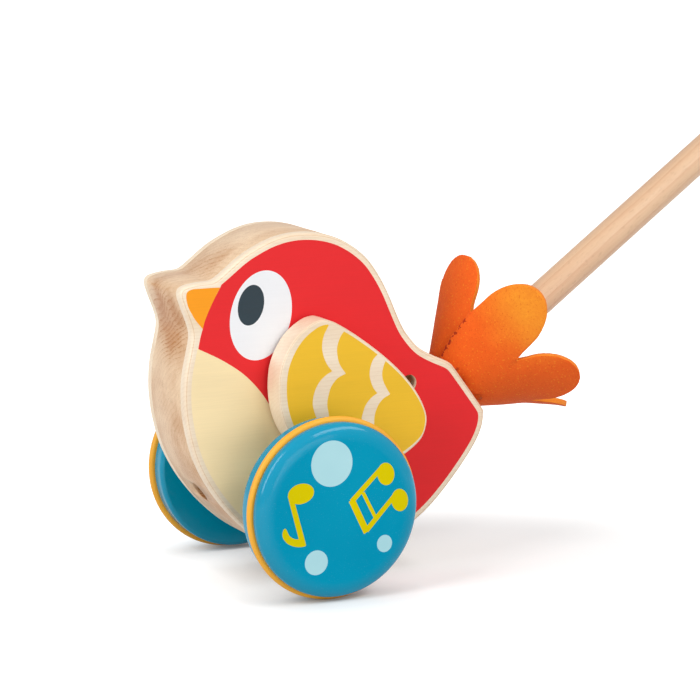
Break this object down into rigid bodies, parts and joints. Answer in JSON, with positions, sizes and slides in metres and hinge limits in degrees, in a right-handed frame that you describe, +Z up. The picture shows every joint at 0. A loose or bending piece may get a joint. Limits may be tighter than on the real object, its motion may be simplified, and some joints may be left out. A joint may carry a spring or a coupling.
{
  "type": "push-along bird toy",
  "caption": "Wooden push-along bird on two wheels with rubber rings, with flapping wings, a felt tail and a long round push stick with a ball knob.",
  "frame": {"origin": "centre of the whole toy's bounding box, on the floor under it, with the wheels on the floor and the stick leaning as it does in the hand", "axes": "+X from the beak to the handle's knob, +Y from the near side to the far side along the axle, +Z up"},
  "size_m": [0.5392, 0.1258, 0.3766],
  "materials": {
    "bare_maple": "sanded bare maple, clear water varnish",
    "printed_panel": "satin screen print on maple board",
    "printed_wing": "satin screen print on maple board",
    "beech": "satin varnished beech",
    "orange_felt": "thick pressed felt",
    "teal_paint": "gloss paint on turned wood",
    "yellow_rubber": "smooth matt rubber",
    "steel": "bright drawn steel",
    "nylon": "moulded nylon"
  },
  "bodies": {
    "body": {"centre_block": "bare_maple", "near_side_panel": "printed_panel", "far_side_panel": "printed_panel", "near_axle_bush": "nylon", "far_axle_bush": "nylon", "near_pivot_bush": "nylon", "far_pivot_bush": "nylon", "handle_stick": "beech", "handle_cross_pin": "beech", "handle_knob": "beech", "felt_tail": "orange_felt"},
    "wheels": {"axle": "steel", "near_wheel": "teal_paint", "far_wheel": "teal_paint", "near_tyre_ring": "yellow_rubber", "far_tyre_ring": "yellow_rubber", "near_wheel_spacer": "bare_maple", "far_wheel_spacer": "bare_maple", "flap_wheel": "nylon", "flap_wheel_pin": "steel"},
    "wings": {"near_wing": "printed_wing", "far_wing": "printed_wing", "near_wing_washer": "nylon", "far_wing_washer": "nylon", "wing_pivot_rod": "beech", "wing_stop_rod": "beech", "wing_lever": "nylon", "wing_lever_pin": "steel"}
  },
  "joints": [
    {"name": "wheel_spin", "type": "hinge", "parent": "body", "child": "wheels", "pos_m": [-0.21399, 0, 0.04], "axis": [0, -1, 0], "continuous": true},
    {"name": "wing_flap", "type": "hinge", "parent": "body", "child": "wings", "pos_m": [-0.21001, 0, 0.10398], "axis": [0, -1, 0], "range_deg": [0, 13]}
  ]
}
